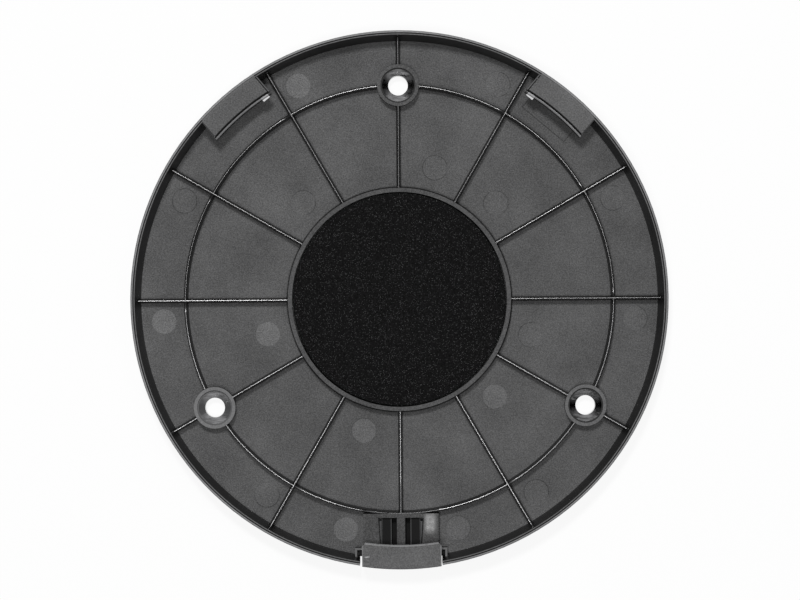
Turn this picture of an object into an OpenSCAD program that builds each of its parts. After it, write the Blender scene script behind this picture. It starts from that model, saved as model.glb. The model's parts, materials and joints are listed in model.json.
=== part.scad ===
// Round clip-on mounting plate with a rocking release latch.
// It lies on its flat back at z = 0, its ribbed inside faces +Z and its latch is on the -Y side.
// All sizes are in millimetres and all angles in degrees.

/* [Plate] */
// Outer diameter of the rim
outer_d = 130; // [105:1:160]
// Thickness of the floor
floor_t = 2; // [1.6:0.1:3]
// Height of the rim above the floor
rim_h = 9; // [7.5:0.5:12]
// Width of the rim at its top
rim_top_w = 1.05; // [1:0.05:1.5]
// Width of the rim where it meets the floor
rim_base_w = 2.05; // [1.6:0.05:2.5]
// Radius of the rounded outer edges
edge_r = 0.3; // [0.1:0.05:0.4]
// Width of the fine groove along the top of the rim
rim_groove_w = 0.2; // [0.1:0.02:0.3]
// Depth of that groove
rim_groove_t = 0.3; // [0.1:0.05:0.4]

/* [Ribs] */
// Number of directions that radial ribs point in
rib_count = 12; // [6:1:18]
// Height of the ribs, the centre ring and the screw bosses above the floor
rib_h = 4; // [3.3:0.1:5]
// Width of a rib near its rounded top
rib_top_w = 0.64; // [0.5:0.05:1]
// Width of a rib where it meets the floor
rib_base_w = 1.16; // [0.8:0.05:1.6]
// Distance from the outer edge to the circular rib, which the screw bosses stand on
mid_rib_inset = 13; // [11:0.5:16]

/* [Centre pad] */
// Inner diameter of the ring around the pad
ring_d = 52.2; // [40:0.2:64]
// Width of that ring
ring_w = 1; // [0.8:0.1:1.6]
// Clearance between the pad and the ring, all round
pad_gap = 0.25; // [0.2:0.05:0.6]
// Thickness of the foam pad
pad_t = 3.4; // [2:0.1:3.6]
// Thickness of the adhesive film that holds the pad
film_t = 0.15; // [0.1:0.05:0.3]

/* [Screw bosses] */
// Number of screw bosses
boss_count = 3; // [2:1:4]
// Direction of the first boss
first_boss_angle = 90; // [0:30:330]
// Outer diameter of a boss
boss_d = 10.1; // [9:0.1:12]
// Diameter of the screw holes
screw_hole_d = 4.8; // [3.5:0.1:5.5]
// Diameter of the recess that takes a screw's head
head_d = 8.5; // [7.5:0.1:8.8]
// Depth of the straight part of that recess
head_recess = 0.7; // [0.4:0.1:1]
// Ledge between the straight part and the countersink
head_ledge = 0.35; // [0.2:0.05:0.5]

/* [Fixed tabs] */
// Angle between the +Y direction and each tab
tab_angle = 40; // [36:1:46]
// Width of a tab
tab_w = 16.8; // [12:0.2:20]
// Distance from the outer edge to a tab's inner edge, which the latch's lip shares
tab_reach = 5.7; // [5:0.1:6.5]
// Thickness of a tab
tab_t = 2; // [1.6:0.1:2.6]
// How far the rounded nose stands out past the tab's top face
nose_reach = 0.95; // [0.6:0.05:1.2]
// Width of the groove between the top face and the nose
nose_groove_w = 0.24; // [0.2:0.02:0.4]
// Depth of that groove
nose_groove_t = 1.1; // [0.4:0.05:1.2]
// Length of the small stop at the end of the nose
stop_l = 1.9; // [1.2:0.1:2.5]
// How far the stop stands out past the nose
stop_reach = 0.8; // [0.4:0.1:1.2]

/* [Latch] */
// Width of the latch
latch_w = 19.2; // [16:0.2:24]
// How far the latch stands out past the rim
latch_proud = 0.2; // [0:0.05:0.4]
// Clearance between the latch and each end of the rim
latch_gap = 0.4; // [0.3:0.05:0.6]
// How far the latch sits to one side, within its play
latch_shift = 0.15; // [0:0.05:0.2]
// Thickness of the latch's lip
lip_t = 1.7; // [1.4:0.1:2.2]
// Thickness of the latch's outer panel
panel_t = 1.6; // [1.2:0.1:2]
// Height of the panel's lower edge above the back of the plate
panel_lift = 0.8; // [0.8:0.1:1.4]
// Chamfer on the inner corners of the lip
lip_corner = 1; // [0.5:0.1:1.6]
// Distance from the outer edge to the pivot
pivot_inset = 3.4; // [3.3:0.1:3.6]
// Height of the pivot above the floor
pivot_h = 2.6; // [2.4:0.1:2.8]
// Diameter of the pivot pins
pin_d = 1.5; // [1.2:0.1:1.6]
// Length of each pivot pin outside the latch's cheek
pin_l = 1.25; // [1.1:0.05:1.5]
// Running clearance around the pins
pin_clear = 0.08; // [0.04:0.01:0.1]

/* [Latch housing] */
// Thickness of the bridge over the spring
bridge_t = 1.2; // [1:0.1:1.4]
// How much narrower the housing is than the latch, on each side
housing_inset = 0.45; // [0.3:0.05:0.8]
// Thickness of the housing's side walls
housing_wall = 1.2; // [0.8:0.1:1.6]
// Width of the web between the two slots
web_w = 2; // [1.4:0.1:2.6]
// Height of the latch's stop block that the bridge's end meets
stop_h = 1.6; // [1.2:0.1:2]

/* [Latch spring] */
// Thickness of the spring strip
spring_t = 0.3; // [0.2:0.05:0.35]
// Width of a spring leg at its tip
leg_w = 2.9; // [2:0.1:3.4]
// How much narrower a leg is where it meets the latch
leg_taper = 0.45; // [0:0.05:0.8]
// Clearance between a leg and the outer side of its slot
leg_gap = 0.3; // [0.2:0.05:0.5]
// Distance between the web and a leg
leg_web_gap = 1.35; // [0.8:0.05:1.6]
// Rise of the leg's turned-up outer edge
flange_h = 0.4; // [0.2:0.05:0.6]
// Width of that edge
flange_w = 0.5; // [0.3:0.05:0.7]

/* [Hidden] */
$fn = 96;
plastic = [0.27, 0.27, 0.28];
eps = 0.01;        // overlap that joins two shapes of one piece
past = 1;          // how far a cut runs past what it cuts
sink = 0.2;        // how far ribs and bosses reach down into the floor
fit_gap = 0.05;    // gap between flat faces that stop against each other
side_gap = 0.3;    // clearance beside moving faces
land_bevel = 0.05; // bevel on the rim's inner top edge

outer_r = outer_d / 2;
rib_top = floor_t + rib_h;
rim_top = floor_t + rim_h;
wall_r_top = outer_r - rim_top_w;
wall_r_base = outer_r - rim_base_w;
groove_r = (wall_r_top + outer_r - edge_r) / 2;
mid_rib_r = outer_r - mid_rib_inset;
ring_r = ring_d / 2;

// Tabs: a top plate with a step down to a wider body that ends in a round nose
nose_lift = 0.2;    // from a tab's underside up to the nose
nose_drop = 0.3;    // from the rim's top down to the nose
tab_step = 0.25;    // how far the body stands out on each side of the top plate
stop_inset = 0.5;   // from the side of the top plate to the stop
tab_r = outer_r - tab_reach;
tab_bottom = rim_top - tab_t;
nose_r = (tab_t - nose_lift - nose_drop) / 2;
nose_z = tab_bottom + nose_lift + nose_r;

// Latch: the pivot's place, and the faces that follow from it
lead_in = 0.25;     // bevel along the lip's inner edge
cheek_t = 1.4;      // thickness of a cheek
cheek_rim = 0.2;    // wall of the cheek's round end around the pin
cheek_inset = 0.45; // from the side of the lip to a cheek's outer face
block_skin = 1.2;   // wall of the block below the spring
neck_h = 1.2;       // height of the bar between the block and the panel
neck_bite = 0.1;    // how far that bar reaches into the panel
pocket_side = 0.35; // room beside the spring in its pocket
latch_r = outer_r + latch_proud;
latch_half = latch_w / 2;
pivot_y = -(outer_r - pivot_inset);
pivot_z = floor_t + pivot_h;
cheek_r = pin_d / 2 + cheek_rim;
cheek_half = latch_half - cheek_inset;
lip_bottom = rim_top - lip_t;

// Cradles: arms around the pins, with room at the pins' ends
cradle_arm = 0.5;   // wall of a cradle around its pin
pin_end_gap = 0.15; // room past the end of a pin
wall_bite = 0.2;    // how far a cradle reaches into the rim's wall, at most
seat_r = pin_d / 2 + pin_clear;
cradle_pin_end = cheek_half + pin_l + latch_shift + pin_end_gap;
cradle_in_y = pivot_y + seat_r + cradle_arm;

// Panel and the room that it swings through
panel_step_w = 0.6; // how much narrower the panel is on each side, below its step
panel_step_h = 0.8; // height of that step above the floor
low_swing = 1.2;    // room behind the panel where it passes through the floor
high_swing = 0.8;   // room behind the panel above the floor
lower_half = latch_half - panel_step_w;
panel_step_z = floor_t + panel_step_h;
notch_r = latch_r - panel_t - low_swing;
swing_r = latch_r - panel_t - high_swing;
rim_cut_r = wall_r_base + side_gap;

// Housing and spring
beam_l = 1;         // length of the beam over the spring's tips, from the circular rib's middle
bridge_gap = 1.4;   // from the pivot to the end of the bridge
web_notch = 0.6;    // how far the web is cut back under the bridge's end
root_gap = 0.1;     // from the pivot to the spring's root
block_out_gap = 0.5; // from the pivot out to the block's outer face
flange_stop = 1.2;  // length at a leg's tip with no turned-up edge
housing_half = latch_half - housing_inset;
bridge_bottom = rib_top - bridge_t;
beam_y = -(mid_rib_r + beam_l);
bridge_end = pivot_y + bridge_gap;
leg_in = web_w / 2 + leg_web_gap;
leg_tip_out = leg_in + leg_w;
leg_root_out = leg_tip_out - leg_taper;
spring_top = bridge_bottom - fit_gap;
spring_tip = -(mid_rib_r + rib_base_w / 2 + fit_gap);
spring_root = pivot_y + root_gap;
block_in = bridge_end - fit_gap;
block_out = pivot_y - block_out_gap;
neck_l = latch_r - panel_t + block_out + neck_bite;

// Cross-section of a rib: sloping sides and a round top
module rib_section(height) {
    shoulder = height - rib_top_w / 2;
    polygon([
        [-rib_base_w / 2, -sink],
        [rib_base_w / 2, -sink],
        [rib_top_w / 2, shoulder],
        [-rib_top_w / 2, shoulder]
    ]);
    translate([0, shoulder]) circle(d = rib_top_w);
}

// A straight rib along +X between two distances from the centre
module straight_rib(from_r, to_r) {
    translate([from_r, 0, floor_t])
        rotate([90, 0, 90])
            linear_extrude(to_r - from_r) rib_section(rib_h);
}

// Half cross-section of the dish: floor, sloping inner wall and rounded rim
module dish_section() {
    square([outer_r - edge_r, floor_t]);
    difference() {
        union() {
            translate([outer_r - rim_base_w, edge_r]) square([rim_base_w, rim_h + floor_t - 2 * edge_r]);
            translate([outer_r - rim_base_w, 0]) square([rim_base_w - edge_r, rim_top]);
            translate([outer_r - edge_r, edge_r]) circle(r = edge_r);
            translate([outer_r - edge_r, rim_top - edge_r]) circle(r = edge_r);
        }
        polygon([
            [wall_r_base - past, floor_t],
            [wall_r_base, floor_t],
            [wall_r_top, rim_top - land_bevel],
            [wall_r_top + land_bevel, rim_top + eps],
            [wall_r_base - past, rim_top + eps]
        ]);
        translate([groove_r - rim_groove_w / 2, rim_top - rim_groove_t])
            square([rim_groove_w, rim_groove_t + eps]);
    }
}

// The twelve directions of ribs, the circular rib and the ring around the pad
module rib_pattern() {
    for (i = [0 : rib_count - 1]) {
        angle = i * 360 / rib_count;
        outer_end = angle == 270 ? mid_rib_r : wall_r_base + rim_top_w / 2;
        rotate([0, 0, angle]) straight_rib(ring_r + ring_w / 2, outer_end);
    }
    translate([0, 0, floor_t])
        rotate_extrude() translate([mid_rib_r, 0]) rib_section(rib_h);
    difference() {
        translate([0, 0, floor_t - sink]) cylinder(h = rib_h + sink, r = ring_r + ring_w);
        translate([0, 0, floor_t]) cylinder(h = rib_h + eps, r = ring_r);
    }
}

module at_bosses() {
    for (i = [0 : boss_count - 1])
        rotate([0, 0, first_boss_angle + i * 360 / boss_count])
            translate([mid_rib_r, 0, 0]) children();
}

// Screw hole with a recess and a countersink for a flat-headed screw
module screw_cut() {
    sink_d = head_d - 2 * head_ledge;
    sink_h = (sink_d - screw_hole_d) / 2;
    recess_z = rib_top - head_recess;
    translate([0, 0, -past]) cylinder(h = rib_top + 2 * past, d = screw_hole_d);
    translate([0, 0, recess_z]) cylinder(h = head_recess + past, d = head_d);
    translate([0, 0, recess_z - sink_h]) cylinder(h = sink_h + eps, d1 = screw_hole_d, d2 = sink_d + 2 * eps);
}

// One fixed tab, pointing inwards from the rim on the +X side
module fixed_tab() {
    intersection() {
        rotate_extrude() difference() {
            union() {
                translate([tab_r, tab_bottom]) square([wall_r_top + land_bevel - tab_r, tab_t]);
                translate([tab_r - nose_reach + nose_r, nose_z]) circle(r = nose_r);
                translate([tab_r - nose_reach + nose_r, nose_z - nose_r])
                    square([nose_reach + eps, 2 * nose_r]);
            }
            translate([tab_r - nose_groove_w, rim_top - nose_groove_t])
                square([nose_groove_w, nose_groove_t + eps]);
        }
        union() {
            translate([0, -tab_w / 2, tab_bottom - eps]) cube([outer_r, tab_w, tab_t + 2 * eps]);
            translate([0, -tab_w / 2 - tab_step, tab_bottom - eps])
                cube([outer_r, tab_w + 2 * tab_step, tab_t - tab_step]);
        }
    }
}

// Small stop at the end of the nose, on the side given as 1 or -1
module nose_stop(side) {
    stop_in = tab_r - nose_reach - stop_reach;
    stop_mid = side * (tab_w / 2 - stop_inset - stop_l / 2);
    translate([stop_in, stop_mid - stop_l / 2, tab_bottom + nose_lift])
        cube([stop_reach + nose_r, stop_l, nose_r + nose_lift]);
}

// Housing that bridges the spring behind the latch, open towards the latch
module latch_housing() {
    length = -bridge_end - mid_rib_r;
    difference() {
        translate([-housing_half, bridge_end, floor_t - sink])
            cube([2 * housing_half, length, rib_h + sink]);
        for (side = [0, 1]) mirror([side, 0, 0]) {
            translate([web_w / 2, bridge_end - past, floor_t]) cube([
                housing_half - housing_wall - web_w / 2,
                length + past - rib_base_w / 2,
                bridge_bottom - floor_t
            ]);
            translate([0, 0, floor_t]) linear_extrude(rib_h + past) polygon([
                [web_w / 2, bridge_end - past],
                [leg_root_out + leg_gap, bridge_end - past],
                [leg_root_out + leg_gap, bridge_end],
                [leg_tip_out + leg_gap, beam_y],
                [web_w / 2, beam_y]
            ]);
        }
        translate([-web_w / 2 - eps, bridge_end - past, floor_t])
            cube([web_w + 2 * eps, past + web_notch, bridge_bottom - floor_t]);
    }
}

// Cradle beside the latch, which a pivot pin drops into; the +X one
module pin_cradle() {
    cradle_w = cradle_pin_end + cradle_arm - latch_half;
    intersection() {
        difference() {
            translate([latch_half, -wall_r_top, floor_t - sink])
                cube([cradle_w, wall_r_top + cradle_in_y, rib_h + sink]);
            translate([latch_half - past, -outer_r, pivot_z])
                cube([cradle_pin_end - latch_half + past, outer_r + pivot_y, rib_h]);
        }
        union() {
            translate([latch_half + latch_shift + side_gap, -outer_r, 0]) cube([latch_half, outer_r, rim_top]);
            cylinder(h = rim_top, r = swing_r);
        }
        cylinder(h = rim_top, r = wall_r_top - wall_bite);
    }
}

// Room for a pivot pin, open at the top so that the pin can drop in; the +X one
module pin_room() {
    translate([latch_half - past, pivot_y, pivot_z]) rotate([0, 90, 0])
        cylinder(h = cradle_pin_end - latch_half + past, r = seat_r);
    translate([latch_half - past, pivot_y - seat_r, pivot_z])
        cube([cradle_pin_end - latch_half + past, 2 * seat_r, rim_h]);
}

// Everything that the latch needs cut away from the rim and the floor
module latch_cut() {
    gap_half = latch_half + latch_gap;
    low_half = lower_half + latch_shift + side_gap;
    difference() {
        translate([-gap_half, -outer_r - past, -past]) cube([2 * gap_half, outer_r, rim_top + 2 * past]);
        translate([0, 0, -2 * past]) cylinder(h = rim_top + 4 * past, r = rim_cut_r);
    }
    difference() {
        translate([-gap_half, -outer_r - past, floor_t]) cube([2 * gap_half, outer_r, rim_h + past]);
        translate([0, 0, -2 * past]) cylinder(h = rim_top + 4 * past, r = swing_r);
    }
    difference() {
        translate([-low_half, -outer_r - past, -past]) cube([2 * low_half, outer_r, rim_top + 2 * past]);
        translate([0, 0, -2 * past]) cylinder(h = rim_top + 4 * past, r = notch_r);
    }
}

module mounting_base() {
    color(plastic) difference() {
        union() {
            difference() {
                union() {
                    rotate_extrude() dish_section();
                    rib_pattern();
                }
                latch_cut();
            }
            at_bosses() translate([0, 0, floor_t - sink]) cylinder(h = rib_h + sink, d = boss_d);
            latch_housing();
            for (side = [0, 1]) mirror([side, 0, 0]) pin_cradle();
        }
        at_bosses() screw_cut();
        for (side = [0, 1]) mirror([side, 0, 0]) pin_room();
    }
}

// Both fixed tabs, which are moulded in one with the base and end at the rim's inner wall
module fixed_tabs() {
    color(plastic) difference() {
        for (side = [-1, 1]) rotate([0, 0, 90 - side * tab_angle]) {
            fixed_tab();
            nose_stop(side);
        }
        rotate_extrude() dish_section();
    }
}

// Half cross-section of the latch's lip, with a lead-in along its inner edge
module lip_section() {
    polygon([
        [tab_r, lip_bottom],
        [latch_r, lip_bottom],
        [latch_r, rim_top - edge_r / 2],
        [latch_r - edge_r / 2, rim_top],
        [tab_r + lead_in, rim_top],
        [tab_r, rim_top - lead_in]
    ]);
}

// The lip's outline from above: straight sides and chamfered inner corners
module lip_outline() {
    inner_y = -sqrt(tab_r * tab_r - latch_half * latch_half);
    polygon([
        [-latch_half, -outer_r - past],
        [latch_half, -outer_r - past],
        [latch_half, inner_y - lip_corner],
        [latch_half - lip_corner, inner_y],
        [latch_half - lip_corner, inner_y + 2 * past],
        [-latch_half + lip_corner, inner_y + 2 * past],
        [-latch_half + lip_corner, inner_y],
        [-latch_half, inner_y - lip_corner]
    ]);
}

// The outer panel: full width above the floor and narrower where it passes through it
module latch_panel() {
    intersection() {
        difference() {
            cylinder(h = rim_top, r = latch_r);
            translate([0, 0, -past]) cylinder(h = rim_top + 2 * past, r = latch_r - panel_t);
        }
        union() {
            translate([-latch_half, -outer_r - past, panel_step_z])
                cube([latch_w, outer_r, lip_bottom - floor_t]);
            translate([-lower_half, -outer_r - past, panel_lift])
                cube([2 * lower_half, outer_r, rim_h]);
        }
    }
}

// One cheek with its pivot pin, on the +X side
module latch_cheek() {
    cheek_in = cheek_half - cheek_t;
    cheek_depth = pivot_inset + latch_proud - panel_t;
    translate([cheek_in, pivot_y, pivot_z]) rotate([0, 90, 0]) cylinder(h = cheek_t, r = cheek_r);
    translate([cheek_in, pivot_y - cheek_depth, pivot_z])
        cube([cheek_t, cheek_depth + cheek_r, lip_bottom - pivot_z + sink]);
    translate([cheek_half - eps, pivot_y, pivot_z]) rotate([0, 90, 0]) cylinder(h = pin_l + eps, d = pin_d);
}

// Block between the cheeks: it holds the spring and stops against the bridge
module latch_block() {
    block_bottom = spring_top - spring_t - block_skin;
    pocket_half = leg_root_out + pocket_side;
    difference() {
        translate([-cheek_half + eps, block_out, block_bottom])
            cube([2 * (cheek_half - eps), block_in - block_out, pivot_z + stop_h - block_bottom]);
        translate([-pocket_half, spring_root - fit_gap, spring_top - spring_t - fit_gap])
            cube([2 * pocket_half, bridge_gap + past, spring_t + 2 * fit_gap]);
        for (side = [0, 1]) mirror([side, 0, 0])
            translate([cheek_half - cheek_t - fit_gap, pivot_y + cheek_r, floor_t])
                cube([cheek_t + past, bridge_gap + past, rim_h]);
    }
    translate([-cheek_half + eps, block_out - neck_l, pivot_z])
        cube([2 * (cheek_half - eps), neck_l + eps, neck_h]);
}

module latch() {
    color(plastic) translate([latch_shift, 0, 0]) {
        intersection() {
            rotate_extrude() lip_section();
            linear_extrude(rim_top + past) lip_outline();
        }
        latch_panel();
        for (side = [0, 1]) mirror([side, 0, 0]) latch_cheek();
        latch_block();
    }
}

// One leg of the spring, on the +X side, with its outer edge turned up
module spring_leg() {
    leg_l = spring_tip - bridge_end;
    lean = atan(leg_taper / leg_l);
    translate([0, 0, spring_top - spring_t]) linear_extrude(spring_t) polygon([
        [leg_in, spring_root],
        [leg_root_out - flange_w + eps, spring_root],
        [leg_root_out - flange_w + eps, bridge_end],
        [leg_tip_out - flange_w + eps, spring_tip],
        [leg_in, spring_tip]
    ]);
    translate([leg_root_out - flange_w, bridge_end, spring_top - spring_t])
        rotate([0, 0, -lean]) rotate([90, 0, 180]) mirror([1, 0, 0])
            linear_extrude(leg_l - flange_stop) polygon([
                [0, 0],
                [flange_w, flange_h],
                [flange_w, flange_h + spring_t],
                [0, spring_t]
            ]);
}

module latch_spring() {
    color([0.16, 0.16, 0.17]) {
        for (side = [0, 1]) mirror([side, 0, 0]) spring_leg();
        translate([-leg_root_out + flange_w, spring_root, spring_top - spring_t])
            cube([2 * (leg_root_out - flange_w), block_in - spring_root, spring_t]);
    }
}

module adhesive_film() {
    color([0.75, 0.73, 0.68]) translate([0, 0, floor_t]) cylinder(h = film_t, r = ring_r - 2 * pad_gap);
}

module foam_pad() {
    color([0.07, 0.07, 0.07]) translate([0, 0, floor_t + film_t]) cylinder(h = pad_t, r = ring_r - pad_gap);
}

mounting_base();
fixed_tabs();
latch();
latch_spring();
foam_pad();
adhesive_film();
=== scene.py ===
# %% [markdown]
# # A clip-on mounting plate
# This lesson dresses a moulded plastic plate for its picture. The plate, its latch and its spring come
# from an engineering model that is already right in shape, so Blender adds what the model can't hold:
# the texture of the plastic, the marks that the mould leaves, the foam pad, the light and the camera.

# %% Load the engineering model
import json
import math

import bmesh
import bpy
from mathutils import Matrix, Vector, noise


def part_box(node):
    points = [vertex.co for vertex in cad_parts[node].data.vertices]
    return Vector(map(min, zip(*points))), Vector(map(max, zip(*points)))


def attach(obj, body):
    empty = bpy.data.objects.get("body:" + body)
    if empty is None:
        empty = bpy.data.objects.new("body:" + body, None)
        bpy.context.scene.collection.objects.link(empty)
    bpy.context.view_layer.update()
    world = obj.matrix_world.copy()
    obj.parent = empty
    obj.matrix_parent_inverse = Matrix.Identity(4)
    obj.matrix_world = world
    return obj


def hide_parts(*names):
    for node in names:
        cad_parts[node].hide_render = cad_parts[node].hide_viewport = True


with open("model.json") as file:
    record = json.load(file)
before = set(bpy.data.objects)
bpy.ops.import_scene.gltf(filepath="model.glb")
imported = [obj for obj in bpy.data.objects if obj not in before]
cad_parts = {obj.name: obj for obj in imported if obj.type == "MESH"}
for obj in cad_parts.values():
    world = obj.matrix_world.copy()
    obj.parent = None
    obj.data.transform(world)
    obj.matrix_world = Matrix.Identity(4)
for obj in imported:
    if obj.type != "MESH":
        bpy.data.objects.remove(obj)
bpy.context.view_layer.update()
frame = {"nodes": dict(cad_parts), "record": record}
nodes = frame["nodes"]
print("nodes:", sorted(nodes))

# %% [markdown]
# ## Sizes
# A box around each part, and the sizes that the part's record gives for its screw holes, say where the
# rim, the ribs, the floor and the pad are. The rest are places where one finish gives way to another: they
# get a name here once, so that a finish further down reads as a description.

# %% Read the sizes that the rest uses
MM = 0.001
mounts = {mount["name"]: mount for mount in frame["record"]["mounts"]}
base_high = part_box("mounting_base")[1]
foam_low, foam_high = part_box("foam_pad")
film_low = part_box("adhesive_film")[0]

outer_r = base_high.x
rim_top = base_high.z
floor_z = film_low.z
rib_top = mounts["device_catch"]["pos_m"][2]
bolt_r = mounts["screw_holes"]["dims"]["pcd_mm"] / 2 * MM
foam_r = foam_high.x
print("rim radius %.1f mm, rim top %.1f mm, rib top %.1f mm" % (outer_r / MM, rim_top / MM, rib_top / MM))

# %% Sizes that only the finishes use
tab_turn = math.radians(50)  # a tab's direction, from +X on the right and mirrored on the left
tab_inner_r = outer_r - 5.7 * MM
tab_half_length = 8.3 * MM
tab_stop = 6.95 * MM  # from a tab's middle to the middle of its stop
boss_r = 5.1 * MM
recess_r = 4.35 * MM
ring_r = 26.6 * MM
ring_half_width = 0.7 * MM
mark_r = 3 * MM
housing_half_width = 9.3 * MM
housing_inner_r = 51.9 * MM
slots_y = -56.3 * MM
slot_half_length = 4.7 * MM
pins_y = -60.4 * MM
cradle_x = (9.6 * MM, 11 * MM)  # from the middle to a cradle's inner and outer side
blur = 0.1 * MM  # the width over which one finish turns into the next
print("radius at the tabs %.1f mm, at the housing %.1f mm" % (tab_inner_r / MM, housing_inner_r / MM))

# %% [markdown]
# ## Maths in a material
# A material is a graph of nodes, and a long formula makes a large graph. One small class wraps a socket
# and gives it Python's operators, so a formula can be read as a formula. A second class adds any other
# kind of node in one call.

# %% Two small helpers for materials
class Value:
    """A number inside a material. Python's operators on it add Math nodes."""

    def __init__(self, graph, socket):
        self.graph = graph
        self.socket = socket

    def math(self, operation, *others):
        return self.graph.math(operation, self, *others)

    def __add__(self, other):
        return self.math("ADD", other)

    def __sub__(self, other):
        return self.math("SUBTRACT", other)

    def __mul__(self, other):
        return self.math("MULTIPLY", other)

    def __truediv__(self, other):
        return self.math("DIVIDE", other)

    def __radd__(self, other):
        return self.graph.math("ADD", other, self)

    def __rsub__(self, other):
        return self.graph.math("SUBTRACT", other, self)

    def __rmul__(self, other):
        return self.graph.math("MULTIPLY", other, self)

    def above(self, edge, softness=blur):
        """0 below the edge, 1 above it, with a soft step of that width."""
        return ((self - (edge - softness / 2)) / softness).clamp()

    def below(self, edge, softness=blur):
        return 1 - self.above(edge, softness)

    def near(self, centre, half_width, softness=blur):
        """1 within half_width of the centre and 0 further away."""
        return (self - centre).math("ABSOLUTE").below(half_width, softness)

    def clamp(self):
        return self.math("MAXIMUM", 0.0).math("MINIMUM", 1.0)


class Graph:
    """The nodes of one material."""

    def __init__(self, name):
        self.material = bpy.data.materials.new(name)
        self.material.use_nodes = True
        self.tree = self.material.node_tree
        self.shader = self.tree.nodes["Principled BSDF"]
        self.output = self.tree.nodes["Material Output"]
        place = self.node("ShaderNodeTexCoord")
        self.place = place.outputs["Object"]
        self.facing = place.outputs["Normal"]

    def plug(self, value, socket):
        if isinstance(value, Value):
            value = value.socket
        if isinstance(value, bpy.types.NodeSocket):
            self.tree.links.new(value, socket)
        else:
            socket.default_value = value

    def node(self, kind, settings=None, **inputs):
        made = self.tree.nodes.new(kind)
        for name, setting in (settings or {}).items():
            setattr(made, name, setting)
        for name, value in inputs.items():
            self.plug(value, made.inputs[name.replace("_", " ")])
        return made

    def math(self, operation, *values):
        made = self.tree.nodes.new("ShaderNodeMath")
        made.operation = operation
        for value, socket in zip(values, made.inputs):
            self.plug(value, socket)
        return Value(self, made.outputs[0])

    def parts(self, vector):
        """The x, y and z of a vector, as three values."""
        made = self.node("ShaderNodeSeparateXYZ", Vector=vector)
        return [Value(self, socket) for socket in made.outputs]

    def noise(self, scale, detail=2.0, rough=0.5, place=None):
        made = self.node("ShaderNodeTexNoise", Vector=place or self.place, Scale=scale, Detail=detail,
                         Roughness=rough)
        return Value(self, made.outputs["Fac"])

    def stretch(self, along_x, along_y):
        """The place on the part, stretched, for marks that run one way."""
        made = self.node("ShaderNodeMapping", Vector=self.place, Scale=(along_x, along_y, 1))
        return made.outputs["Vector"]

    def mix(self, factor, first, second):
        """A colour between two colours."""
        made = self.tree.nodes.new("ShaderNodeMix")
        made.data_type = "RGBA"
        self.plug(factor, made.inputs[0])
        self.plug(first, made.inputs[6])
        self.plug(second, made.inputs[7])
        return made.outputs[2]

    def blend(self, factor, first, second):
        """A shader between two shaders."""
        made = self.tree.nodes.new("ShaderNodeMixShader")
        for value, socket in zip((factor, first, second), made.inputs):
            self.plug(value, socket)
        return made.outputs[0]

    def bump(self, height, distance):
        made = self.node("ShaderNodeBump", Height=height, Distance=distance, Strength=1.0)
        return made.outputs["Normal"]

    def set(self, **inputs):
        for name, value in inputs.items():
            self.plug(value, self.shader.inputs[name.replace("_", " ")])


def grey(level):
    return (level, level, level * 1.02, 1.0)


# %% [markdown]
# ## The moulded plastic
# The floor of such a moulding has a fine matt texture, which is etched into the mould. The ribs and the
# screw recesses are cut with a polished tool and come out smooth, so they catch the light. One start is
# shared by every plastic part: it works out where a point lies, which way it faces and how it is grained.

# %% What all the plastic parts share
def start_plastic(name, grain_scale):
    g = Graph(name)
    g.x, g.y, g.z = g.parts(g.place)
    g.side = g.x.math("ABSOLUTE")
    _, g.forward, g.up = g.parts(g.facing)
    g.flat = g.up.above(0.997, 0.004)
    g.radius = distance(g, 0, 0)
    g.grain = g.noise(grain_scale, 3, 0.65) - 0.5
    g.cloud = g.noise(75, 4, 0.6) - 0.5
    g.dirt = g.noise(700, 3, 0.6)
    return g


def distance(g, place_x, place_y):
    dx, dy = g.x - place_x, g.y - place_y
    return (dx * dx + dy * dy).math("SQRT")


def tab_axes(g, sideways):
    """How far out a point lies in a tab's direction, and how far along the tab."""
    out = sideways * math.cos(tab_turn) + g.y * math.sin(tab_turn)
    along = g.y * math.cos(tab_turn) - sideways * math.sin(tab_turn)
    return out, along


def finish_plastic(g, level, tone, etched, matt, polish, pale, land, height):
    """Etched areas have the roughness called matt, and the others the one called polish.

    The tone is a multiple of the level, the plastic's own grey. Pale areas are nearly white. Smooth areas
    that aren't lands get a thin coat, which widens the light along the ribs' tops."""
    tone = tone + g.cloud * 0.8 + g.grain * 2.6 * etched
    matt = matt - g.grain * 0.45 - g.cloud * 0.22
    most = 5  # the lightest tone that the plastic reaches
    colour = g.mix((tone / most).clamp(), grey(0), grey(level * most))
    g.set(Base_Color=g.mix(pale, colour, grey(0.6)))
    g.set(Roughness=polish + (matt - polish) * etched)
    g.set(Normal=g.bump(height + g.grain * etched, 0.035 * MM))
    g.set(Coat_Weight=(1 - etched) * (1 - land) * g.up.above(0.5, 0.2), Coat_Roughness=0.24)
    print("%s: %d nodes" % (g.material.name, len(g.tree.nodes)))
    return g.material


# %% [markdown]
# ## The mounting base
# Round pins push the moulding out of its mould. Each leaves a disc on the floor with a thin outline, and
# some discs come out lighter than others. They could be cut into the mesh, but they are only a hundredth of
# a millimetre deep, so a material draws them from their distance to a list of places.

# %% Where the ejector pins were
def polar(radius, angle):
    turn = math.radians(angle)
    return radius * math.cos(turn), radius * math.sin(turn)


# Each row has its radius, and then each mark's direction in degrees and how light its disc is.
outer_marks = (57.6 * MM, ((25, 0.1), (65, 0.15), (115, 0.6), (155, 0.1), (185, 0.7), (235.5, 0.1),
                           (256.5, 0.65), (284, 0.3), (305, 0.1), (355, 0.15)))
inner_marks = (33.2 * MM, ((44.5, 0.1), (74.5, 0.15), (134.5, 0.1), (194.5, 0.55), (254.5, 0.55),
                           (314, 0.5), (344.5, 0.1)))
ejector_marks = [(*polar(radius, angle), shade)
                 for radius, marks in (outer_marks, inner_marks) for angle, shade in marks]
print("ejector marks:", len(ejector_marks))

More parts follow.
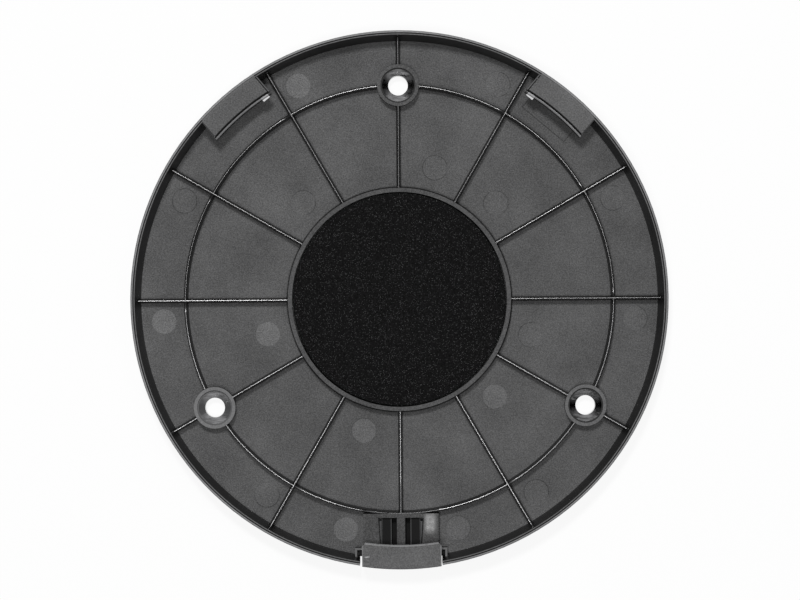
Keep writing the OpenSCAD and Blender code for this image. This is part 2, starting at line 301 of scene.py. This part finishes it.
# %% [markdown]
# A finish can be laid out by painting, by splitting the mesh, or by asking each point where it is. The
# last keeps the engineering mesh whole: a mask is 1 inside a place and 0 outside it, and masks are
# multiplied, added and subtracted until each place has its own tone and roughness.

# %% Masks for the rim, the bosses and the latch's housing
def rim_places(g):
    """The rim's top, the fine groove along it, which stops at the tabs, and the outer edge."""
    along = tab_axes(g, g.side)[1].math("ABSOLUTE")
    past_tab = (along.above(tab_half_length) + g.y.below(0, 1 * MM)).clamp()
    top = g.z.above(rim_top - 0.4 * MM) * g.up.above(0.5, 0.1)
    groove = g.radius.near(outer_r - 0.65 * MM, 0.12 * MM) * g.z.above(rim_top - 1 * MM)
    edge = g.radius.above(outer_r - 0.5 * MM) * top
    return top, groove * past_tab, edge


# Each boss's direction in degrees, and how much lighter its land and its recess are painted: painted light
# on the left and right bosses.
painted_boss_light = ((90, 0, 0), (210, 2, 2.8), (330, 1, 0.8))


def boss_places(g, on_top):
    """The lands around the screw holes, their recesses, and the painted light on each boss."""
    lands, recesses, painted_light = 0, 0, 0
    for angle, land_light, recess_light in painted_boss_light:
        reach = distance(g, *polar(bolt_r, angle))
        land = reach.below(boss_r, 0.2 * MM) * on_top
        recess = reach.below(recess_r) * g.z.below(rib_top - 0.2 * MM)
        lands, recesses = lands + land, recesses + recess
        # Painted light: the lands and recesses of the left and right bosses are made lighter.
        painted_light = painted_light + land * land_light + recess * recess_light
    return lands, recesses, painted_light


def housing_places(g, on_top):
    """The top of the latch's housing and the glossy patch on it."""
    house = g.side.below(housing_half_width, 0.2 * MM) * g.y.below(-45 * MM, 1 * MM) * on_top
    house = house * (g.radius.above(housing_inner_r, 0.3 * MM) + g.flat).clamp()
    gloss = g.x.near(7.1 * MM, 1.3 * MM, 1.2 * MM) * g.y.near(-54.3 * MM, 2.3 * MM, 2 * MM) * house
    return house, gloss


def latch_places(g, on_top, on_floor):
    """The slots' middle and sides, and the cradles of the pivot pins with their seats."""
    inner, outer = cradle_x
    in_slot = g.y.near(slots_y, slot_half_length, 0.2 * MM) * g.z.below(rib_top - 0.2 * MM)
    slot = in_slot * g.side.near(1.7 * MM, 0.75 * MM) * on_floor
    slot_side = in_slot * g.side.near(5.1 * MM, 0.65 * MM)
    beside = g.side.above(inner) * g.y.below(pins_y + 1.9 * MM)
    seat = beside * g.y.below(pins_y, 0.2 * MM) * g.z.below(rib_top - 0.1 * MM) * g.side.below(outer)
    return slot, slot_side, beside * on_top, seat


# %% Marks that the mould leaves on the floor
def mould_marks(g, on_floor):
    """What the ejector pins, and an insert under one tab, do to tone, roughness and height."""
    tone, matt, height = 0, 0, 0
    # Painted light and shade: each outline is lighter along some arcs and darker along others, as the lit
    # and shaded sides of a raised ring.
    lit_arc = g.cloud.above(0.02, 0.06) * 2.2 - 1
    for mark_x, mark_y, shade in ejector_marks:
        reach = distance(g, mark_x, mark_y)
        disc = reach.below(mark_r - 0.05 * MM, 0.2 * MM) * on_floor * shade
        outline = reach.near(mark_r, 0.05 * MM, 0.16 * MM) * on_floor * (0.9 - shade)
        tone = tone + disc * (1 + g.grain * 2) + outline * lit_arc
        matt = matt - disc * 0.09
        height = height - outline * 1.5
    out, along = tab_axes(g, g.x)
    past_end = (along - 0.2 * MM).math("ABSOLUTE") - 6.6 * MM
    insert = past_end.math("MAXIMUM", 55.2 * MM - out).near(0, 0.08 * MM, 0.15 * MM) * on_floor
    return tone - insert * 0.5, matt + insert * 0.06, height - insert


# %% [markdown]
# The floor, the rim's top and the housing are etched, the screw bosses are dull, and the ribs and the
# countersinks are polished. The countersinks' streaks are painted reflections: a noise stretched one way
# draws them lighter. The floor on both sides of the bottom rib is painted lighter, a painted sheen. The
# slots, seats, screw recesses, grooves, ribs and upper walls are painted darker as painted shade, and the
# rim's outer edge and the lower ribs' crests get painted highlights.

# %% Base material
def base_plastic():
    g = start_plastic("moulded_plastic", 3600)
    # Where the point is.
    on_floor = g.z.below(floor_z + 0.3 * MM, 0.2 * MM) * g.flat
    on_top = g.z.near(rib_top, 0.1 * MM) * g.up.above(0.9, 0.1)
    on_rim, rim_groove_shade, rim_edge = rim_places(g)
    boss, bore, painted_light = boss_places(g, on_top)
    house, gloss = housing_places(g, on_top)
    slot, slot_side, cradle, seat = latch_places(g, on_top, on_floor)
    ring = g.radius.near(ring_r, ring_half_width) * on_top
    # Painted shade: a dark line on the floor where the ring meets it.
    corner_shade = g.radius.near(ring_r + ring_half_width, 0.2 * MM, 0.3 * MM) * on_floor
    outside = (g.radius.above(outer_r - 0.1 * MM, 0.05 * MM) + g.up.below(-0.5, 0.1)).clamp() * (1 - on_rim)
    # Painted sheen: the floor on both sides of the bottom rib is made lighter.
    painted_sheen = g.x.near(0, 1 * MM, 9 * MM) * g.y.near(-41 * MM, 7 * MM, 12 * MM) * on_floor
    mark_tone, mark_matt, height = mould_marks(g, on_floor)

    # What kind of surface it is there.
    land = (boss + bore + ring + cradle + seat + house).clamp()
    etched = (on_floor + on_rim + ring + house + boss + outside - gloss).clamp()
    rib = (1 - etched) * (1 - land)
    wall = g.up.math("ABSOLUTE").below(0.35, 0.1)
    shaded = wall * g.z.above(rib_top, 5 * MM)

    # How light it is, where 1 is the plastic's own grey.
    # Painted light: the lighter left and right bosses and the sheen beside the bottom rib.
    tone = 1 - boss * 0.1 + ring * 0.1 + painted_light + painted_sheen * 0.4 + mark_tone
    # Painted shade: the upper parts of the walls, the ribs, the slots' sides and the ring's corner are
    # darker.
    tone = tone - shaded * 0.7 - rib * 0.8 - house * 0.35 - slot_side * 0.8 - corner_shade
    # Painted shade: the slots' floors, the pin seats and the screw recesses are nearly black.
    tone = tone - (slot + seat + bore) * 2
    # The rim's top is lighter; its outer edge carries a painted highlight and the groove along it painted
    # shade.
    tone = tone + rim_edge * 3 + (on_rim - rim_edge) * 0.8 - rim_groove_shade * 4

    # How rough it is, where it is etched and where it isn't.
    matt = 0.62 + house * 0.05 + ring * 0.08 + slot * 0.4 + corner_shade * 0.25 + rim_groove_shade * 0.3 - rim_edge * 0.06
    shine = g.noise(24, 1, 0.5)
    curved = 0.2 + 0.1 * shine + (g.dirt - 0.5) * 0.06 + wall * 0.15 + seat * 0.5
    dull = 0.1 + bore * g.flat * 0.6 + cradle * 0.4 + seat * 0.7 + gloss * (0.1 + 0.25 * g.dirt)
    polish = curved + (dull - curved) * land

    # Painted reflections: streaks in the countersinks, lightest where the cone faces along y. Painted
    # highlights: the lighter crests of the lower ribs.
    cone = bore * g.up.near(0.7, 0.2, 0.1) * g.forward * g.forward * 2
    streak = g.noise(900, 3, 0.6, g.stretch(0.25, 1.5))
    crest = rib * g.up.above(0.93, 0.1) * g.y.below(-5 * MM, 10 * MM)
    pale = crest * 0.2 + cone * (streak - 0.3).clamp() * 1.7
    return finish_plastic(g, 0.043, tone, etched, matt + mark_matt, polish, pale, land, height)


base_material = base_plastic()

# %% [markdown]
# ## The tabs and the latch
# The tabs and the latch's lip are handled most, so their grain is coarser and a little lighter. The tabs'
# rounded noses are polished and carry a painted highlight; the groove behind each nose, the noses'
# undersides and one end of each tab are painted darker as painted shade, and the small stops and one end of
# each ledge are pale.
# The latch's lip has a painted highlight along its inner edge and at its ends, and a few fine scratches at
# one end;
# its pivot pins are painted dark as painted shade. Both use the same start and the same finish as the base,
# so that they are plainly one plastic, with other masks.

# %% Tab material
def tab_plastic():
    g = start_plastic("tab_plastic", 3000)
    along = tab_axes(g, g.side)[1]
    on_top = g.z.above(rim_top - 0.1 * MM) * g.flat * g.radius.above(tab_inner_r)
    stop = along.near(tab_stop, 0.95 * MM) * (1 - on_top) * g.up.above(0.2, 0.2)
    groove = g.radius.near(tab_inner_r - 0.08 * MM, 0.26 * MM) * g.z.above(rim_top - 1.3 * MM)
    end = along.above(tab_half_length - 0.15 * MM) * on_top
    ledge = g.flat * g.z.near(rim_top - 0.25 * MM, 0.06 * MM, 0.05 * MM)
    nose = (1 - on_top) * g.up.above(0.7, 0.15) * (1 - ledge) * along.below(tab_stop + 0.95 * MM)
    under = (1 - on_top) * g.up.below(0.6, 0.2) * (1 - stop)
    # The stops, and the ledge at one end of each tab, are lighter.
    pale_stop_and_ledge = stop * g.dirt.above(0.2, 0.2) * 0.35 + ledge * along.above(0, 1 * MM) * 0.12
    # Painted highlight: the rounded noses are made lighter along their tops.
    pale = (pale_stop_and_ledge + nose * (0.1 + 0.3 * g.dirt)).clamp() * (1 - groove)
    # Painted shade: the groove behind the nose, the undersides and the tab's far end are darker.
    tone = 1 + on_top * 0.15 - (groove + under + end) * 1.5
    matt = 0.62 + (groove + end) * 0.3
    polish = 0.32 + 0.12 * g.dirt - ledge * 0.3 + groove * 0.5
    return finish_plastic(g, 0.05, tone, on_top, matt, polish, pale, (ledge + groove).clamp(), 0)


tab_material = tab_plastic()

# %% Latch material
def latch_plastic():
    g = start_plastic("latch_plastic", 3200)
    on_lip = g.z.above(rim_top - 0.1 * MM) * g.flat
    edge = g.radius.below(tab_inner_r + 0.38 * MM) * g.z.above(rim_top - 0.3 * MM, 0.05 * MM)
    ends = (g.x - 0.15 * MM).math("ABSOLUTE").above(9.35 * MM, 0.12 * MM) * on_lip
    # Painted highlights: a light line along the lip's inner edge and at its ends.
    painted_edge_light = (edge * 0.65 + ends * 0.3) * g.dirt.above(0.3, 0.3)
    scratch = g.noise(1500, 2, 0.5, g.stretch(0.25, 1.6)).above(0.58, 0.06)
    left_end = g.x.near(-9 * MM, 1 * MM, 1 * MM) * g.y.near(-62.3 * MM, 1.2 * MM, 1.5 * MM) * on_lip
    pin = g.side.above(housing_half_width) * g.z.below(7 * MM)
    pale = (painted_edge_light * 0.5 + scratch * left_end * 0.6).clamp()
    # Painted shade: the pivot pins, down in their pockets, are nearly black.
    tone = 1 + on_lip * 0.1 - pin * 2
    etched = (on_lip + pin + g.radius.above(outer_r, 0.05 * MM)).clamp()
    matt = 0.6 + pin * 0.3
    return finish_plastic(g, 0.052, tone, etched, matt, 0.2 + 0.1 * g.dirt, pale, on_lip, 0)


latch_material = latch_plastic()

# %% [markdown]
# ## The spring and the film
# The spring is a strip of steel with a black oxide coat; the light lines along its fold and its outer edges
# are painted highlights. Only two strips of it show, so a tint from the distance to the middle is enough.
# The film under the pad is pale and hidden.

# %% Spring steel and adhesive film
def spring_steel():
    g = Graph("black_spring_steel")
    side = g.parts(g.place)[0].math("ABSOLUTE")
    scratch = g.noise(900, 4, 0.6)
    fold = side.near(2.4 * MM, 0.04 * MM, 0.08 * MM)
    # Painted highlights: light lines along the fold and the outer edges.
    painted_light = fold + side.above(4.7 * MM, 0.6 * MM) * 0.6
    g.set(Base_Color=g.mix(painted_light.clamp(), grey(0.008), grey(0.16)))
    g.set(Roughness=0.75 + 0.1 * scratch, Specular_IOR_Level=0.15)
    return g.material


def adhesive():
    g = Graph("adhesive_film")
    g.set(Base_Color=g.mix(g.noise(400), (0.60, 0.57, 0.50, 1), (0.70, 0.67, 0.60, 1)), Roughness=0.4)
    return g.material


def give(node_name, material):
    mesh = nodes[node_name].data
    mesh.materials.clear()
    mesh.materials.append(material)
    print("%s is finished in %s" % (node_name, material.name))


give("mounting_base", base_material)
give("fixed_tabs", tab_material)
give("latch", latch_material)
give("latch_spring", spring_steel())
give("adhesive_film", adhesive())

# %% [markdown]
# ## The foam pad
# A disc of fine black foam. Its cut cells are what the eye sees, so the top is really uneven: a profile
# is spun into a dense disc, and a noise moves each point of it a few hundredths of a millimetre.

# %% Foam pad
def foam_disc():
    low, high = foam_low.z, foam_high.z
    edge = 0.35 * MM
    rings = 84
    profile = [(foam_r * (1 - edge / foam_r) * i / rings, high) for i in range(rings + 1)]
    for angle in (30, 60, 90):
        turn = math.radians(angle)
        profile.append((foam_r - edge + edge * math.sin(turn), high - edge + edge * math.cos(turn)))
    profile += [(foam_r, low), (0, low)]
    bm = bmesh.new()
    points = [bm.verts.new((r, 0, z)) for r, z in profile]
    edges = [bm.edges.new(pair) for pair in zip(points, points[1:])]
    bmesh.ops.spin(bm, geom=points + edges, axis=(0, 0, 1), cent=(0, 0, 0), angle=2 * math.pi, steps=360,
                   use_merge=True)
    bmesh.ops.remove_doubles(bm, verts=bm.verts, dist=1e-6)
    bmesh.ops.recalc_face_normals(bm, faces=bm.faces)
    for vert in bm.verts:
        if vert.co.z > high - edge * 1.1:
            cells = noise.noise(vert.co * 2200, noise_basis="PERLIN_ORIGINAL")
            swell = noise.noise(vert.co * 120, noise_basis="PERLIN_ORIGINAL")
            vert.co.z += (cells * 0.05 + swell * 0.06 - 0.06) * MM
    mesh = bpy.data.meshes.new("foam_disc")
    bm.to_mesh(mesh)
    bm.free()
    mesh.polygons.foreach_set("use_smooth", [True] * len(mesh.polygons))
    piece = bpy.data.objects.new("foam_disc", mesh)
    bpy.context.collection.objects.link(piece)
    return piece


def foam_material():
    g = Graph("black_foam")
    cells = g.noise(2600, 4, 0.7)
    specks = g.node("ShaderNodeTexVoronoi", Vector=g.place, Scale=4800)
    # Painted glints: tiny pale specks where the cut cells would catch the light.
    spark = Value(g, specks.outputs["Distance"]).below(0.3, 0.2)
    lit = g.parts(specks.outputs["Color"])[0].above(0.78, 0.22) * 0.26
    colour = g.mix(((cells - 0.35) * 3).clamp(), grey(0.0005), grey(0.008))
    colour = g.mix(spark * lit, colour, grey(0.4))
    g.set(Base_Color=colour, Roughness=0.85)
    g.set(Normal=g.bump(cells, 0.12 * MM))
    g.set(Specular_IOR_Level=0.1)
    return g.material


foam = foam_disc()
foam.data.materials.append(foam_material())
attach(foam, "base")
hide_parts("foam_pad")
print("foam faces:", len(foam.data.polygons))

# %% [markdown]
# ## Floor and light
# The plate lies on a pale sheet. To the camera the sheet glows a little, so that it looks white without
# more light on the plate, and it still shows the plate's shadow. It lies a hair below the plate's back, as
# two faces in one place would flicker, and it is clear from below, so the back can be looked at.

# %% Floor
def floor_material():
    g = Graph("pale_floor")
    g.set(Base_Color=(0.9, 0.9, 0.9, 1), Roughness=0.8)
    rays = g.node("ShaderNodeLightPath")
    seen = Value(g, rays.outputs["Is Camera Ray"]).math("MAXIMUM", Value(g, rays.outputs["Is Glossy Ray"]))
    glow = g.node("ShaderNodeEmission", Color=(1, 1, 1, 1), Strength=1.0)
    clear = g.node("ShaderNodeBsdfTransparent")
    behind = g.node("ShaderNodeNewGeometry").outputs["Backfacing"]
    top = g.blend(seen * 0.88, g.shader.outputs[0], glow.outputs[0])
    sheet = g.blend(behind, top, clear.outputs[0])
    g.plug(sheet, g.output.inputs["Surface"])
    return g.material


def make_floor(half_width, drop):
    bm = bmesh.new()
    bmesh.ops.create_grid(bm, x_segments=1, y_segments=1, size=half_width)
    bmesh.ops.translate(bm, verts=bm.verts, vec=(0, 0, -drop))
    mesh = bpy.data.meshes.new("floor")
    bm.to_mesh(mesh)
    bm.free()
    piece = bpy.data.objects.new("floor", mesh)
    bpy.context.collection.objects.link(piece)
    mesh.materials.append(floor_material())
    print("floor: %.0f m wide, %.1f mm below the plate" % (2 * half_width, drop / MM))


make_floor(half_width=3, drop=0.1 * MM)

# %% [markdown]
# A rib's round top shines only where a lamp, the rib and the eye line up, so the lamps' places decide which
# ribs look bright and which look dark. One firm lamp on the far side draws the short shadows, one on the
# near side lights the lower ribs, and a broad weak one softens the whole.

# %% Lights
def soft_light(name, place, size, share):
    """A square area light aimed at the plate, which gives that share of a plain level of light."""
    place = Vector(place)
    reach = place.length
    lamp = bpy.data.lights.new(name, "AREA")
    lamp.shape = "RECTANGLE"
    lamp.size = lamp.size_y = size
    lamp.energy = share * math.pi ** 2 * reach ** 3 / place.z
    holder = bpy.data.objects.new(name, lamp)
    holder.location = place
    holder.rotation_euler = place.to_track_quat("Z", "Y").to_euler()
    bpy.context.collection.objects.link(holder)
    print("%s: %.1f W from %.2f m away" % (name, lamp.energy, reach))


soft_light("far_light", place=(-0.08, 0.39, 1.2), size=0.14, share=0.52)
soft_light("near_light", place=(-0.08, -0.16, 1.2), size=0.2, share=0.35)
soft_light("side_light", place=(0.30, 0.22, 1.1), size=0.4, share=0.08)

# %% Surroundings: a weak even light, seen as white by the camera
def make_world(level):
    world = bpy.data.worlds.new("studio")
    world.use_nodes = True
    tree = world.node_tree
    dim = tree.nodes["Background"]
    white = tree.nodes.new("ShaderNodeBackground")
    for background, strength in ((dim, level), (white, 1.0)):
        background.inputs["Color"].default_value = (1, 1, 1, 1)
        background.inputs["Strength"].default_value = strength
    rays = tree.nodes.new("ShaderNodeLightPath")
    choice = tree.nodes.new("ShaderNodeMixShader")
    tree.links.new(rays.outputs["Is Camera Ray"], choice.inputs[0])
    tree.links.new(dim.outputs[0], choice.inputs[1])
    tree.links.new(white.outputs[0], choice.inputs[2])
    tree.links.new(choice.outputs[0], tree.nodes["World Output"].inputs["Surface"])
    bpy.context.scene.world = world
    print("surroundings: %.2f on the plate" % level)


make_world(level=0.08)

# %% [markdown]
# ## Camera
# The plate is seen from straight above with a long lens, so its walls hardly show. The camera is turned
# by less than half a degree, as a plate laid down by hand would be.

# %% Camera
camera_height = 0.9
frame_width = 193.1 * MM  # what the camera sees across, at the rim's height
sensor_width = 36
camera_turn = -0.4  # in degrees
lens = bpy.data.cameras.new("camera")
lens.sensor_width = sensor_width
lens.lens = sensor_width * camera_height / frame_width
camera = bpy.data.objects.new("camera", lens)
camera.location = (0.13 * MM, -0.15 * MM, rim_top + camera_height)
camera.rotation_euler = (0, 0, math.radians(camera_turn))
bpy.context.collection.objects.link(camera)
bpy.context.scene.camera = camera
bpy.context.scene.view_settings.view_transform = "Standard"
print("camera: %.0f mm lens, %.1f m above the rim" % (lens.lens, camera_height))
